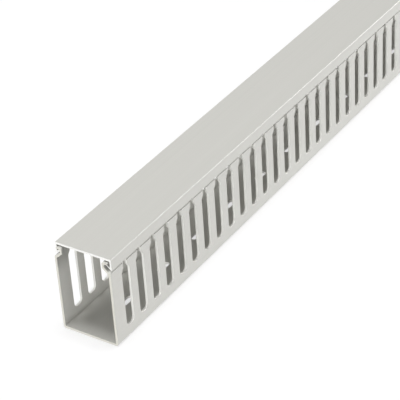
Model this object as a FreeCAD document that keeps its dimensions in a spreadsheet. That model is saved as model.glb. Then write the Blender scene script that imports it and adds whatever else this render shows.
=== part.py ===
import FreeCAD, Part
import math
import os

import Sketcher
from FreeCAD import Vector

# Slotted wiring duct: an open channel with finger walls and a cover that snaps over the fingers.
# X runs along the duct, Y across it and Z up; the origin is under the middle of the base.
doc = FreeCAD.newDocument("wiring_duct")

# Sizes in millimetres
sheet = doc.addObject("Spreadsheet::Sheet", "dims")
sizes = [
    ("duct_length", 1000, "length of the stock"),
    ("duct_width", 50, "outside width of channel and cover"),
    ("duct_height", 77, "outside height with the cover on"),
    ("channel_wall", 1.9, "thickness of the side walls, ramps and stubs"),
    ("channel_floor", 1.9, "thickness of the base"),
    ("foot_radius", 2, "outer radius between base and side wall"),
    ("foot_inner_radius", 0.6, "inner radius between base and side wall"),
    ("ramp_inset", 5.3, "how far each ramp steps in from the side wall"),
    ("ramp_rise", 4.7, "how far each ramp climbs on the way"),
    ("bead_reach", 3.1, "how far a bead stands out from its stub, over the cover's lip"),
    ("bead_root", 1.6, "height of a bead where it leaves its stub"),
    ("bead_edge", 1.2, "height of a bead at its outer edge"),
    ("bead_chamfer", 0.9, "bevel of a bead's upper edges"),
    ("bead_headroom", 1.0, "gap between the beads and the cover's top"),
    ("cover_plate", 1.8, "thickness of the cover's top"),
    ("cover_flange", 1.5, "thickness of the cover's side flanges"),
    ("cover_drop", 10.1, "height of the cover's flanges, top included"),
    ("cover_lip", 0.9, "thickness of the lips that turn in under the beads"),
    ("lip_clearance", 0.6, "gap between a lip's edge and the stub behind it"),
    ("cover_radius", 1.0, "outer radius of the cover's corners"),
    ("cover_inner_radius", 0.4, "inner radius of the cover's corners"),
    ("lip_radius", 0.3, "rounding of the lip's edges"),
    ("cover_setback", 2.0, "how much shorter the cover is at each end"),
    ("snap_gap", 1.6, "height of the open joint between a flange and the ramp under it"),
    ("slot_pitch", 18, "distance from slot to slot"),
    ("slot_first", 18, "from the near end to the middle of the first slot"),
    ("slot_margin", 8, "least distance from the middle of the last slot to the far end"),
    ("slot_width", 9.6, "width of a slot"),
    ("slot_foot", 9.8, "height of the slots above the underside"),
    ("slot_foot_radius", 3.8, "rounding of the slots' lower corners"),
    ("slot_shoulder", 6.6, "from the ramp's start down to the slot's shoulder"),
    ("slot_shoulder_rise", 3.1, "height of the tapered shoulder"),
    ("slot_shoulder_cut", 1.0, "bevel that eases the corner below the shoulder"),
    ("neck_width", 4.8, "width of the neck between two fingers"),
    ("hole_pitch", 50, "distance between the mounting holes in the base"),
    ("hole_first", 47.5, "from the near end to the first mounting hole"),
    ("hole_margin", 12, "least distance from the middle of the last hole to the far end"),
    ("hole_length", 14, "length of a mounting hole, along the duct"),
    ("hole_width", 5.5, "width of a mounting hole"),
]
for row, (alias, number, meaning) in enumerate(sizes, 1):
    sheet.set("A%d" % row, meaning)
    sheet.set("B%d" % row, str(number))
    sheet.setAlias("B%d" % row, alias)
doc.recompute()


def new_body(label):
    body = doc.addObject("PartDesign::Body", label)
    body.Label = label
    return body


def origin_feature(body, role):
    return [f for f in body.Origin.OriginFeatures if f.Role == role][0]


def new_sketch(body, name, plane):
    sketch = body.newObject("Sketcher::SketchObject", name)
    sketch.AttachmentSupport = [(origin_feature(body, plane), "")]
    sketch.MapMode = "FlatFace"
    doc.recompute()
    return sketch


def bind(sketch, constraint, rule):
    # adds one dimension and ties it to the sheet
    index = sketch.addConstraint(constraint)
    sketch.setExpression("Constraints[%d]" % index, rule)


def draw_outline(sketch, corners):
    # closed outline through corners given as (x rule, y rule, radius rule or None)
    spots = [Vector(sketch.evalExpression(x), sketch.evalExpression(y), 0) for x, y, r in corners]
    radii = [sketch.evalExpression(r) if r else 0 for x, y, r in corners]
    count = len(corners)
    starts, ends = [], []
    for i, spot in enumerate(spots):
        back = (spots[i - 1] - spot).normalize()
        ahead = (spots[(i + 1) % count] - spot).normalize()
        cut = radii[i] / math.tan(back.getAngle(ahead) / 2)
        ends.append(spot + back * cut)
        starts.append(spot + ahead * cut)
    lines = []
    for i in range(count):
        segment = Part.LineSegment(starts[i], ends[(i + 1) % count])
        lines.append(sketch.addGeometry(segment, False))
    for i, (x, y, r) in enumerate(corners):
        before, after = lines[i - 1], lines[i]
        if not r:
            sketch.addConstraint(Sketcher.Constraint("Coincident", before, 2, after, 1))
            corner, end = after, 1
        else:
            corner, end = sketch.addGeometry(Part.Point(spots[i]), True), 1
            back = (spots[i - 1] - spots[i]).normalize()
            ahead = (spots[(i + 1) % count] - spots[i]).normalize()
            half = back.getAngle(ahead) / 2
            middle = spots[i] + (back + ahead).normalize() * (radii[i] / math.sin(half))
            nearest = middle + (spots[i] - middle).normalize() * radii[i]
            bend = Part.Arc(ends[i], nearest, starts[i])
            arc = sketch.addGeometry(bend, False)
            # the arc runs counter-clockwise, so its first point is found by place
            first = sketch.getPoint(arc, 1)
            head, tail = (1, 2) if first.distanceToPoint(ends[i]) < 1e-6 else (2, 1)
            sketch.addConstraint(Sketcher.Constraint("PointOnObject", corner, 1, before))
            sketch.addConstraint(Sketcher.Constraint("PointOnObject", corner, 1, after))
            sketch.addConstraint(Sketcher.Constraint("Tangent", before, 2, arc, head))
            sketch.addConstraint(Sketcher.Constraint("Tangent", arc, tail, after, 1))
            bind(sketch, Sketcher.Constraint("Radius", arc, radii[i]), r)
        bind(sketch, Sketcher.Constraint("DistanceX", -1, 1, corner, end, spots[i].x), x)
        bind(sketch, Sketcher.Constraint("DistanceY", -1, 1, corner, end, spots[i].y), y)


def draw_obround(sketch, middle, length, width):
    # oblong hole along the sketch's x axis, centred on it
    radius = sketch.evalExpression("%s / 2" % width)
    centre = sketch.evalExpression(middle)
    reach = sketch.evalExpression("%s / 2" % length) - radius
    ends = []
    for side in (-1, 1):
        spot = Vector(centre + side * reach, 0, 0)
        circle = Part.Circle(spot, Vector(0, 0, 1), radius)
        turn = -math.pi / 2 if side > 0 else math.pi / 2
        ends.append(sketch.addGeometry(Part.ArcOfCircle(circle, turn, turn + math.pi), False))
        bind(sketch, Sketcher.Constraint("Radius", ends[-1], radius), "%s / 2" % width)
        rule = "%s %s (%s - %s) / 2" % (middle, "+" if side > 0 else "-", length, width)
        bind(sketch, Sketcher.Constraint("DistanceX", -1, 1, ends[-1], 3, spot.x), rule)
        sketch.addConstraint(Sketcher.Constraint("PointOnObject", ends[-1], 3, -1))
    left, right = ends
    for height, first, second in ((-radius, (left, 2), (right, 1)), (radius, (left, 1), (right, 2))):
        line = Part.LineSegment(Vector(centre - reach, height, 0), Vector(centre + reach, height, 0))
        flank = sketch.addGeometry(line, False)
        sketch.addConstraint(Sketcher.Constraint("Tangent", flank, 1, *first))
        sketch.addConstraint(Sketcher.Constraint("Tangent", flank, 2, *second))


def mirrored(side):
    # a half outline given from the left edge inwards, and the same one mirrored
    right = [("-(%s)" % x, y, r) for x, y, r in reversed(side)]
    return side + right


def pad_along(body, sketch, name, rule):
    pad = body.newObject("PartDesign::Pad", name)
    pad.Profile = sketch
    pad.setExpression("Length", rule)
    pad.Midplane = True
    doc.recompute()
    return pad


def pocket_through(body, sketch, name):
    before = body.Shape.Volume
    pocket = body.newObject("PartDesign::Pocket", name)
    pocket.Profile = sketch
    pocket.Type = "ThroughAll"
    pocket.Midplane = True
    pocket.Refine = False
    doc.recompute()
    assert pocket.Shape.Volume < before - 1, name + " cuts nothing"
    return pocket


def repeat_along(body, feature, name, first, pitch, margin):
    # as many along the duct as its length takes
    count = "(floor((dims.duct_length - %s - %s) / %s) + 1)" % (first, margin, pitch)
    before = body.Shape.Volume
    pattern = body.newObject("PartDesign::LinearPattern", name)
    pattern.Originals = [feature]
    pattern.Direction = (origin_feature(body, "X_Axis"), [""])
    pattern.setExpression("Length", "%s * (%s - 1)" % (pitch, count))
    pattern.setExpression("Occurrences", count)
    pattern.Refine = False
    body.Tip = pattern
    doc.recompute()
    assert pattern.Shape.Volume < before - 1, name + " repeats nothing"
    return pattern


# Heights and insets that channel and cover share, as rules on the sheet
edge = "-dims.duct_width / 2"
flange_foot = "(dims.duct_height - dims.cover_drop)"
shoulder = "(%s - dims.snap_gap)" % flange_foot
ramp_top = "(%s + dims.ramp_rise)" % shoulder
ramp_run = "sqrt(dims.ramp_inset ^ 2 + dims.ramp_rise ^ 2)"
under_ramp = "dims.channel_wall * (%s - dims.ramp_rise) / dims.ramp_inset" % ramp_run
bead_top = "(dims.duct_height - dims.cover_plate - dims.bead_headroom)"
stub = "(%s + dims.ramp_inset)" % edge
bead_tip = "(%s - dims.bead_reach)" % stub
near_end = "-dims.duct_length / 2"

# Channel: base, side walls, ramps that step inwards, and beads that stand back out over the lips
channel = new_body("slotted_channel")
section = new_sketch(channel, "channel_section", "YZ_Plane")
draw_outline(section, mirrored([
    (edge, "0", "dims.foot_radius"),
    (edge, shoulder, None),
    (stub, ramp_top, None),
    (stub, "%s - dims.bead_root" % bead_top, None),
    (bead_tip, "%s - dims.bead_edge" % bead_top, None),
    (bead_tip, "%s - dims.bead_chamfer" % bead_top, None),
    ("%s + dims.bead_chamfer" % bead_tip, bead_top, None),
    ("%s + dims.channel_wall - dims.bead_chamfer" % stub, bead_top, None),
    ("%s + dims.channel_wall" % stub, "%s - dims.bead_chamfer" % bead_top, None),
    ("%s + dims.channel_wall" % stub, "%s - %s" % (ramp_top, under_ramp), None),
    ("%s + dims.channel_wall" % edge, "%s - %s" % (shoulder, under_ramp), None),
    ("%s + dims.channel_wall" % edge, "dims.channel_floor", "dims.foot_inner_radius"),
]))
pad_along(channel, section, "channel_bar", "dims.duct_length")

# Oblong mounting holes in a row along the middle of the base
hole_outline = new_sketch(channel, "hole_outline", "XY_Plane")
draw_obround(hole_outline, "%s + dims.hole_first" % near_end, "dims.hole_length", "dims.hole_width")
first_hole = pocket_through(channel, hole_outline, "first_hole")
repeat_along(channel, first_hole, "mounting_holes", "dims.hole_first", "dims.hole_pitch", "dims.hole_margin")

# Slots through both side walls, open at the top, so that fingers stand between them.
# Four flat facets stand for each rounded lower corner, within 0.1 mm, because the slot repeats so often.
slot_middle = "(%s + dims.slot_first)" % near_end
neck_side = "dims.neck_width / 2"
slot_shoulder = "(%s - dims.slot_shoulder)" % shoulder
slot_neck = "(%s + dims.slot_shoulder_rise)" % slot_shoulder
shoulder_run = "((dims.slot_width - dims.neck_width) / 2)"
shoulder_slant = "sqrt(%s ^ 2 + dims.slot_shoulder_rise ^ 2)" % shoulder_run
foot_facets = 4
slot_side = []
for step in range(foot_facets + 1):
    turn = "(90 deg * %d / %d)" % (step, foot_facets)
    slot_side.append(("dims.slot_width / 2 - dims.slot_foot_radius * (1 - sin(%s))" % turn,
                      "dims.slot_foot + dims.slot_foot_radius * (1 - cos(%s))" % turn))
slot_side += [
    ("dims.slot_width / 2", "%s - dims.slot_shoulder_cut" % slot_shoulder),
    ("dims.slot_width / 2 - dims.slot_shoulder_cut * %s / %s" % (shoulder_run, shoulder_slant),
     "%s + dims.slot_shoulder_cut * dims.slot_shoulder_rise / %s" % (slot_shoulder, shoulder_slant)),
    (neck_side, slot_neck),
    (neck_side, "dims.duct_height"),
]
slot_outline = new_sketch(channel, "slot_outline", "XZ_Plane")
draw_outline(slot_outline,
             [("%s + %s" % (slot_middle, x), y, None) for x, y in slot_side]
             + [("%s - (%s)" % (slot_middle, x), y, None) for x, y in reversed(slot_side)])
first_slot = pocket_through(channel, slot_outline, "first_slot")
repeat_along(channel, first_slot, "slots", "dims.slot_first", "dims.slot_pitch", "dims.slot_margin")

# Cover: a flat top, two flanges flush with the side walls, and lips that lie along the ramps
cover = new_body("snap_cover")
cover_section = new_sketch(cover, "cover_section", "YZ_Plane")
lip_reach = "(dims.ramp_inset - dims.lip_clearance)"
lip_slope = "dims.ramp_rise / dims.ramp_inset"
lip_height = "dims.cover_lip * %s / dims.ramp_inset" % ramp_run
draw_outline(cover_section, mirrored([
    (edge, "dims.duct_height", "dims.cover_radius"),
    (edge, flange_foot, "dims.lip_radius"),
    ("%s + %s" % (edge, lip_reach), "%s + %s * %s" % (flange_foot, lip_reach, lip_slope), "dims.lip_radius"),
    ("%s + %s" % (edge, lip_reach),
     "%s + %s * %s + %s" % (flange_foot, lip_reach, lip_slope, lip_height), "dims.lip_radius"),
    ("%s + dims.cover_flange" % edge,
     "%s + dims.cover_flange * %s + %s" % (flange_foot, lip_slope, lip_height), "dims.cover_inner_radius"),
    ("%s + dims.cover_flange" % edge, "dims.duct_height - dims.cover_plate", "dims.cover_inner_radius"),
]))
pad_along(cover, cover_section, "cover_bar", "dims.duct_length - 2 * dims.cover_setback")

# Every object has to be sound before anything is written
doc.recompute()
for item in doc.Objects:
    assert not {"Invalid", "Error"} & set(item.State), item.Name + " failed"
os.makedirs("parts", exist_ok=True)
for body in (channel, cover):
    shape = body.Shape
    assert not shape.isNull() and shape.isValid() and len(shape.Solids) == 1, body.Label
    shape.exportStep("parts/%s.step" % body.Label)
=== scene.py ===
import math

import bmesh
import bpy
from mathutils import Matrix, Vector


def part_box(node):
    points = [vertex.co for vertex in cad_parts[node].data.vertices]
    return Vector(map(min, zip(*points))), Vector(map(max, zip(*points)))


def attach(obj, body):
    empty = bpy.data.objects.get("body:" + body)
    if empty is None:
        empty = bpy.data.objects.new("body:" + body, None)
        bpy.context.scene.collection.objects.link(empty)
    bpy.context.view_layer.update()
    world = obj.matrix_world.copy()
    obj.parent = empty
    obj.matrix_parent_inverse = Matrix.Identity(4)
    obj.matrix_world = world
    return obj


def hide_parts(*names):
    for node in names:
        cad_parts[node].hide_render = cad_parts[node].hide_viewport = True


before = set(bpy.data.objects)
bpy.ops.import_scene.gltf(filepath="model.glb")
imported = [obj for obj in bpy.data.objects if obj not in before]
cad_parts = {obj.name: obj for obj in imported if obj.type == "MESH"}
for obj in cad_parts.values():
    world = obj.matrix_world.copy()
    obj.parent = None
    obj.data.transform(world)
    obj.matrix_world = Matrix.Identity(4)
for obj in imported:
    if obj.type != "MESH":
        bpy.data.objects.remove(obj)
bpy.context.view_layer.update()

mm = 0.001
channelLow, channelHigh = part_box("slotted_channel")
coverLow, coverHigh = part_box("snap_cover")

meshWork = {
    # (up to this radius in mm, steps round the corner)
    "arcSteps": [(0.5, 3), (1.5, 5), (math.inf, 8)],
    # points nearer than this are one, in m: in a new section, and after the punching
    "weld": 1e-6, "punchedWeld": 2e-6,
    # degrees: a rim is broken above the first, shading breaks above the second
    "rimAngle": 50, "shadingAngle": 38, "rimSteps": 2, "flatsWeight": 100,
}


def roundCorner(bm, corner, radius):
    # the bevel wants the length along the edges, which depends on the corner's angle
    first, second = [edge.other_vert(corner).co - corner.co for edge in corner.link_edges]
    reach = radius * mm / math.tan(first.angle(second) / 2)
    steps = next(count for limit, count in meshWork["arcSteps"] if radius < limit)
    bmesh.ops.bevel(bm, geom=[corner], offset=reach, offset_type="OFFSET", segments=steps,
                    profile=0.5, affect="VERTICES", material=-1, clamp_overlap=True)


def flatShape(bm, corners, place):
    # one face through a few corners, each (a, b, radius) in mm; place puts a, b into space
    verts = [bm.verts.new(place(a * mm, b * mm)) for a, b, radius in corners]
    bm.faces.new(verts)
    for vert, (a, b, radius) in zip(verts, corners):
        if radius > 0:
            roundCorner(bm, vert, radius)


def vertsIn(geom):
    return [item for item in geom if isinstance(item, bmesh.types.BMVert)]


def pushOut(bm, step):
    # the flat shape drawn out into a solid
    grown = bmesh.ops.extrude_face_region(bm, geom=bm.faces[:])
    bmesh.ops.translate(bm, verts=vertsIn(grown["geom"]), vec=step)


def repeatAlong(bm, count, pitch):
    # copies of what the mesh holds so far, one pitch in mm after the other along X
    one = bm.verts[:] + bm.edges[:] + bm.faces[:]
    for k in range(1, count):
        copy = bmesh.ops.duplicate(bm, geom=one)
        bmesh.ops.translate(bm, verts=vertsIn(copy["geom"]), vec=(k * pitch * mm, 0, 0))


def newPiece(name, bm):
    mesh = bpy.data.meshes.new(name)
    bm.to_mesh(mesh)
    bm.free()
    piece = bpy.data.objects.new(name, mesh)
    bpy.context.scene.collection.objects.link(piece)
    return piece


def extrudedProfile(corners, low, high):
    # the left half of a section, mirrored to the right and drawn out along X
    bm = bmesh.new()
    flatShape(bm, corners, lambda y, z: Vector((low, y, z)))
    bmesh.ops.mirror(bm, geom=bm.verts[:] + bm.edges[:] + bm.faces[:],
                     matrix=Matrix.Identity(4), merge_dist=meshWork["weld"], axis="Y")
    middle = [edge for edge in bm.edges
              if all(abs(vert.co.y) < meshWork["weld"] for vert in edge.verts)]
    bmesh.ops.dissolve_edges(bm, edges=middle, use_verts=True)
    bmesh.ops.recalc_face_normals(bm, faces=bm.faces[:])
    pushOut(bm, Vector((high - low, 0, 0)))
    bmesh.ops.remove_doubles(bm, verts=bm.verts[:], dist=meshWork["weld"])
    bmesh.ops.recalc_face_normals(bm, faces=bm.faces[:])
    return bm


def cutAway(piece, cutter):
    cut = piece.modifiers.new("punch", "BOOLEAN")
    cut.operation = "DIFFERENCE"
    cut.solver = "EXACT"
    cut.material_mode = "INDEX"
    cut.object = cutter
    depsgraph = bpy.context.evaluated_depsgraph_get()
    whole = bpy.data.meshes.new_from_object(piece.evaluated_get(depsgraph))
    piece.modifiers.clear()
    old = piece.data
    piece.data = whole
    whole.name = piece.name
    bpy.data.meshes.remove(old)
    bpy.data.objects.remove(cutter)


def finishPiece(piece, rim, materials):
    # a small broken edge where two finishes meet, then shading that keeps the flats flat
    for material in materials:
        piece.data.materials.append(material)
    bm = bmesh.new()
    bm.from_mesh(piece.data)
    bmesh.ops.remove_doubles(bm, verts=bm.verts[:], dist=meshWork["punchedWeld"])
    edges = [edge for edge in bm.edges if len(edge.link_faces) == 2
             and edge.link_faces[0].material_index != edge.link_faces[1].material_index
             and edge.calc_face_angle(0) > math.radians(meshWork["rimAngle"])]
    bmesh.ops.bevel(bm, geom=edges, offset=rim * mm, offset_type="OFFSET",
                    segments=meshWork["rimSteps"], profile=0.5, affect="EDGES",
                    material=-1, clamp_overlap=True)
    for face in bm.faces:
        face.smooth = True
    bm.to_mesh(piece.data)
    bm.free()
    piece.data.set_sharp_from_angle(angle=math.radians(meshWork["shadingAngle"]))
    weights = piece.modifiers.new("flats", "WEIGHTED_NORMAL")
    weights.keep_sharp = True
    weights.mode = "FACE_AREA"
    weights.weight = meshWork["flatsWeight"]


def plasticFinish(name, facts):
    material = bpy.data.materials.new(name)
    material.use_nodes = True
    nodes, links = material.node_tree.nodes, material.node_tree.links
    shader = nodes["Principled BSDF"]
    shader.inputs["Roughness"].default_value = facts["roughness"]
    shader.inputs["Specular IOR Level"].default_value = facts["specular"]
    shader.inputs["IOR"].default_value = facts["ior"]
    place = nodes.new("ShaderNodeTexCoord")

    def noise(scale, detail, roughness):
        mapping = nodes.new("ShaderNodeMapping")
        mapping.inputs["Scale"].default_value = scale
        texture = nodes.new("ShaderNodeTexNoise")
        texture.inputs["Scale"].default_value = 1.0
        texture.inputs["Detail"].default_value = detail
        texture.inputs["Roughness"].default_value = roughness
        links.new(place.outputs["Object"], mapping.inputs["Vector"])
        links.new(mapping.outputs["Vector"], texture.inputs["Vector"])
        return texture.outputs["Fac"]

    def bump(height, strength, distance):
        node = nodes.new("ShaderNodeBump")
        node.inputs["Strength"].default_value = strength
        node.inputs["Distance"].default_value = distance
        links.new(height, node.inputs["Height"])
        return node

    cloud = noise(facts["cloudScale"], *facts["cloudNoise"])
    streak = noise(facts["streakScale"], *facts["streakNoise"])
    grain = noise(facts["grainScale"], *facts["grainNoise"])

    tone = nodes.new("ShaderNodeMix")          # faint drift of the colour
    tone.data_type = "RGBA"
    tone.inputs["A"].default_value = (*facts["colour"], 1)
    tone.inputs["B"].default_value = (*facts["drift"], 1)
    links.new(cloud, tone.inputs["Factor"])
    shade = nodes.new("ShaderNodeMapRange")    # the streaks turned into darker lines
    lineLow, lineHigh = facts["lineRange"]
    shade.inputs["From Min"].default_value = lineLow
    shade.inputs["From Max"].default_value = lineHigh
    shade.inputs["To Min"].default_value = facts["lineShade"]
    shade.inputs["To Max"].default_value = 1.0
    links.new(streak, shade.inputs["Value"])
    lines = nodes.new("ShaderNodeMix")         # faint lines left by the die or the saw
    lines.data_type = "RGBA"
    lines.blend_type = "MULTIPLY"
    lines.inputs["Factor"].default_value = facts["lineDepth"]
    links.new(tone.outputs["Result"], lines.inputs["A"])
    links.new(shade.outputs["Result"], lines.inputs["B"])
    links.new(lines.outputs["Result"], shader.inputs["Base Color"])

    gloss = nodes.new("ShaderNodeMapRange")    # glossier and duller patches
    glossier, duller = facts["roughnessDrift"]
    gloss.inputs["To Min"].default_value = facts["roughness"] - glossier
    gloss.inputs["To Max"].default_value = facts["roughness"] + duller
    links.new(cloud, gloss.inputs["Value"])
    links.new(gloss.outputs["Result"], shader.inputs["Roughness"])

    fine = bump(grain, facts["grainStrength"], facts["grainHeight"])
    drawn = bump(streak, facts["streakStrength"], facts["streakHeight"])
    links.new(fine.outputs["Normal"], drawn.inputs["Normal"])
    links.new(drawn.outputs["Normal"], shader.inputs["Normal"])
    return material


satinGrey = {
    "colour": (0.64, 0.635, 0.60), "drift": (0.61, 0.605, 0.57),
    "roughness": 0.42, "roughnessDrift": (0.05, 0.07), "specular": 0.4, "ior": 1.52,
    # repeats per metre along X, Y and Z, then the noise's detail and roughness
    "cloudScale": (6, 30, 30), "cloudNoise": (3, 0.55),
    "streakScale": (1.5, 620, 620), "streakNoise": (2, 0.5),
    "grainScale": (1500, 1500, 1500), "grainNoise": (2, 0.6),
    "lineRange": (0.3, 0.7), "lineShade": 0.82, "lineDepth": 0.12,
    # bump strengths, and heights in m
    "grainStrength": 0.35, "grainHeight": 0.00004,
    "streakStrength": 0.4, "streakHeight": 0.00006,
}
sawnGrey = dict(satinGrey, colour=(0.70, 0.69, 0.63), drift=(0.64, 0.63, 0.56), roughness=0.6,
                streakScale=(600, 260, 1400), lineDepth=0.3, grainStrength=0.6)
sawnPale = dict(sawnGrey, colour=(0.92, 0.92, 0.90), drift=(0.87, 0.87, 0.84))
# the punched walls of the slots and holes are painted far paler than the drawn faces: a painted
# highlight standing in for the light they catch
punchedPaintedHighlight = dict(satinGrey, colour=(0.88, 0.875, 0.84), drift=(0.82, 0.815, 0.78),
                   roughness=0.5, streakScale=(500, 40, 500), lineDepth=0.2)

channelSatin = plasticFinish("channelSatin", satinGrey)
channelSawn = plasticFinish("channelSawn", sawnGrey)
channelPunchedPaintedHighlight = plasticFinish("channelPunchedPaintedHighlight", punchedPaintedHighlight)
coverSatin = plasticFinish("coverSatin", dict(satinGrey, cloudScale=(5, 24, 24)))
coverSawn = plasticFinish("coverSawn", sawnPale)
print("finishes ready")


channel = {
    # left half of the section, from the middle of the base round the outside: y, z, radius in mm;
    # the shoulder at 65.83 is 0.5 above the solid's, which narrows the seam under the cover
    "section": [
        (0, 0, 0), (25, 0, 2.0), (25, 65.83, 0.25), (24.4, 65.83, 0.15),
        (19.7, 70.0, 0.5), (19.7, 72.6, 0.35), (22.8, 73.0, 0.3), (22.8, 74.2, 0.85),
        (17.8, 74.2, 1.4), (17.8, 69.15, 0.8), (23.1, 64.45, 0.9), (23.1, 1.9, 0.6), (0, 1.9, 0),
    ],
    # a row starts firstSlot from the near end and stops at least slotMargin before the far one
    "slotPitch": 18.0, "firstSlot": 18.0, "slotMargin": 8.0,
    # a slot seen from the side: a wide part with round corners, and a neck that is open above
    "slotWidth": 9.6, "slotFoot": 9.8, "footRadius": 3.8, "shoulder": 58.7, "shoulderRadius": 3.2,
    "neckWidth": 4.8, "neckFoot": 61.8, "neckRadius": 0.8, "neckTop": 80.0, "slotReach": 30.0,
    # a hole seen from above: its round ends stop short of each other by endGap
    "holePitch": 50.0, "firstHole": 47.5, "holeMargin": 12.0, "holeLength": 14.0,
    "holeWidth": 5.5, "endGap": 0.005, "holeBottom": -2.0, "holeTop": 4.0,
    "rim": 0.14,
}


def countAlong(length, first, margin, pitch):
    return int((length - first - margin) / pitch) + 1


def slotCutters(facts, low, high):
    half, neck = facts["slotWidth"] / 2, facts["neckWidth"] / 2
    side = [
        (half, facts["slotFoot"], facts["footRadius"]),
        (half, facts["shoulder"], facts["shoulderRadius"]),
        (neck, facts["neckFoot"], facts["neckRadius"]),
        (neck, facts["neckTop"], 0),
    ]
    outline = side + [(-x, z, radius) for x, z, radius in reversed(side)]
    start = low + facts["firstSlot"] * mm
    reach = facts["slotReach"] * mm
    bm = bmesh.new()
    flatShape(bm, outline, lambda x, z: Vector((start + x, -reach, z)))
    pushOut(bm, Vector((0, 2 * reach, 0)))
    bmesh.ops.recalc_face_normals(bm, faces=bm.faces[:])
    count = countAlong((high - low) / mm, facts["firstSlot"], facts["slotMargin"],
                       facts["slotPitch"])
    repeatAlong(bm, count, facts["slotPitch"])
    print("slots in each wall:", count)
    return bm


def holeCutters(facts, low, high):
    across, along = facts["holeWidth"] / 2, facts["holeLength"] / 2
    corners = [(a * along, b * across, across - facts["endGap"])
               for a, b in ((1, 1), (-1, 1), (-1, -1), (1, -1))]
    start = low + facts["firstHole"] * mm
    bottom, top = facts["holeBottom"] * mm, facts["holeTop"] * mm
    bm = bmesh.new()
    flatShape(bm, corners, lambda x, y: Vector((start + x, y, bottom)))
    pushOut(bm, Vector((0, 0, top - bottom)))
    bmesh.ops.recalc_face_normals(bm, faces=bm.faces[:])
    count = countAlong((high - low) / mm, facts["firstHole"], facts["holeMargin"],
                       facts["holePitch"])
    repeatAlong(bm, count, facts["holePitch"])
    print("holes in the base:", count)
    return bm


# places of the finishes on a piece, and how squarely a sawn end faces along X
asDrawn, sawn, punched = 0, 1, 2
endFacing = 0.99


def markEnds(bm):
    for face in bm.faces:
        face.material_index = sawn if abs(face.normal.x) > endFacing else asDrawn


profile = extrudedProfile(channel["section"], channelLow.x, channelHigh.x)
markEnds(profile)
channelPiece = newPiece("channelBody", profile)
for makeCutters in (slotCutters, holeCutters):
    cutters = makeCutters(channel, channelLow.x, channelHigh.x)
    # the cutters' faces become the punched walls, which carry the painted highlight
    for face in cutters.faces:
        face.material_index = punched
    cutAway(channelPiece, newPiece("cutters", cutters))
finishPiece(channelPiece, channel["rim"], [channelSatin, channelSawn, channelPunchedPaintedHighlight])
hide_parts("slotted_channel")
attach(channelPiece, "channel")
print("channel ready:", len(channelPiece.data.polygons), "faces")


cover = {
    # left half of the section, from the middle of the top round the outside: y, z, radius in mm
    "section": [
        (0, 77, 0), (25, 77, 0.6), (25, 66.9, 0.3), (20.3, 71.07, 0.3), (20.3, 72.27, 0.3),
        (23.5, 69.43, 0.4), (23.5, 75.2, 0.4), (0, 75.2, 0),
    ],
    "rim": 0.12,
}
profile = extrudedProfile(cover["section"], coverLow.x, coverHigh.x)
markEnds(profile)
coverPiece = newPiece("coverBody", profile)
finishPiece(coverPiece, cover["rim"], [coverSatin, coverSawn])
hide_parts("snap_cover")
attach(coverPiece, "cover")
print("cover ready:", len(coverPiece.data.polygons), "faces")


studio = {
    # sizes in m; the floor lies floorDrop below the duct, and glows only for the camera and gloss
    "floorSize": 5.0, "floorDrop": 0.0003, "floorColour": (0.36, 0.36, 0.36), "floorGlow": 0.652,
    "worldStrength": 0.06,
    "target": (-0.25, 0, 0.04), "lampDistance": 9.0,
    # direction from +X and height above the floor in degrees, width and height in m, power in W
    "lamps": {
        "key": (328, 4, 4.6, 1.0, 1023),
        "top": (0, 90, 3.6, 3.6, 645),
        "end": (187, 8, 3.6, 2.2, 530),
        "corner": (140, 8, 3.6, 2.2, 190),
        "rear": (70, 8, 3.6, 2.2, 180),
    },
}


def seenBy(tree, first, second):
    # 1 for a ray of either kind and 0 for all others
    path = tree.nodes.new("ShaderNodeLightPath")
    either = tree.nodes.new("ShaderNodeMath")
    either.operation = "MAXIMUM"
    tree.links.new(path.outputs[first], either.inputs[0])
    tree.links.new(path.outputs[second], either.inputs[1])
    return either.outputs["Value"]


floorMesh = bmesh.new()
bmesh.ops.create_grid(floorMesh, x_segments=1, y_segments=1, size=studio["floorSize"] / 2)
bmesh.ops.translate(floorMesh, verts=floorMesh.verts[:], vec=(0, 0, -studio["floorDrop"]))
floorPiece = newPiece("floor", floorMesh)

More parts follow.
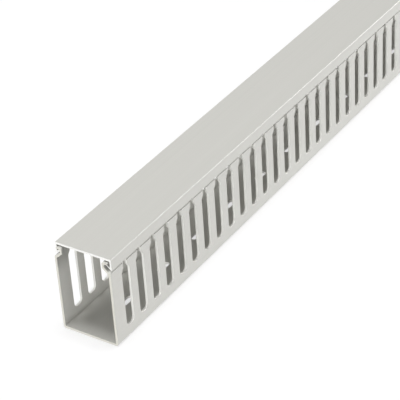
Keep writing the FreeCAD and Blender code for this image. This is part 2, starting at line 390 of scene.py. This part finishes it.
floorFinish = bpy.data.materials.new("paperFloor")
floorFinish.use_nodes = True
nodes, links = floorFinish.node_tree.nodes, floorFinish.node_tree.links
nodes.clear()
out = nodes.new("ShaderNodeOutputMaterial")
paper = nodes.new("ShaderNodeBsdfDiffuse")
paper.inputs["Color"].default_value = (*studio["floorColour"], 1)
glow = nodes.new("ShaderNodeEmission")
strength = nodes.new("ShaderNodeMath")
strength.operation = "MULTIPLY"
strength.inputs[1].default_value = studio["floorGlow"]
links.new(seenBy(floorFinish.node_tree, "Is Camera Ray", "Is Glossy Ray"), strength.inputs[0])
links.new(strength.outputs["Value"], glow.inputs["Strength"])
both = nodes.new("ShaderNodeAddShader")
links.new(paper.outputs["BSDF"], both.inputs[0])
links.new(glow.outputs["Emission"], both.inputs[1])
links.new(both.outputs["Shader"], out.inputs["Surface"])
floorPiece.data.materials.append(floorFinish)

world = bpy.data.worlds.new("studioWorld")
bpy.context.scene.world = world
world.use_nodes = True
nodes, links = world.node_tree.nodes, world.node_tree.links
background = nodes["Background"]
background.inputs["Color"].default_value = (1, 1, 1, 1)
level = nodes.new("ShaderNodeMapRange")
level.inputs["To Min"].default_value = studio["worldStrength"]
level.inputs["To Max"].default_value = 1.0
links.new(seenBy(world.node_tree, "Is Camera Ray", "Is Transmission Ray"), level.inputs["Value"])
links.new(level.outputs["Result"], background.inputs["Strength"])

for name, (turn, rise, width, height, power) in studio["lamps"].items():
    lamp = bpy.data.lights.new(name, "AREA")
    lamp.shape = "RECTANGLE"
    lamp.size, lamp.size_y = width, height
    lamp.energy = power
    holder = bpy.data.objects.new(name, lamp)
    around = Matrix.Rotation(math.radians(turn), 3, "Z")
    upward = Matrix.Rotation(math.radians(-rise), 3, "Y")
    towards = around @ upward @ Vector((1, 0, 0))
    holder.location = Vector(studio["target"]) + towards * studio["lampDistance"]
    holder.rotation_euler = towards.to_track_quat("Z", "Y").to_euler()
    bpy.context.scene.collection.objects.link(holder)
print("studio ready")


shot = {
    # lens and sensor in mm, place and clipping in m, turn in degrees
    "lens": 142.36, "sensor": 36, "nearest": 0.05, "farthest": 60,
    "place": (-1.2178, -0.6025, 0.7246), "turn": (56.755, 3.375, -57.597),
}
camera = bpy.data.cameras.new("shotCamera")
camera.sensor_width = shot["sensor"]
camera.lens = shot["lens"]
camera.clip_start, camera.clip_end = shot["nearest"], shot["farthest"]
cameraHolder = bpy.data.objects.new("shotCamera", camera)
cameraHolder.location = shot["place"]
cameraHolder.rotation_euler = [math.radians(angle) for angle in shot["turn"]]
bpy.context.scene.collection.objects.link(cameraHolder)
bpy.context.scene.camera = cameraHolder
bpy.context.scene.view_settings.view_transform = "Standard"
print("camera ready")
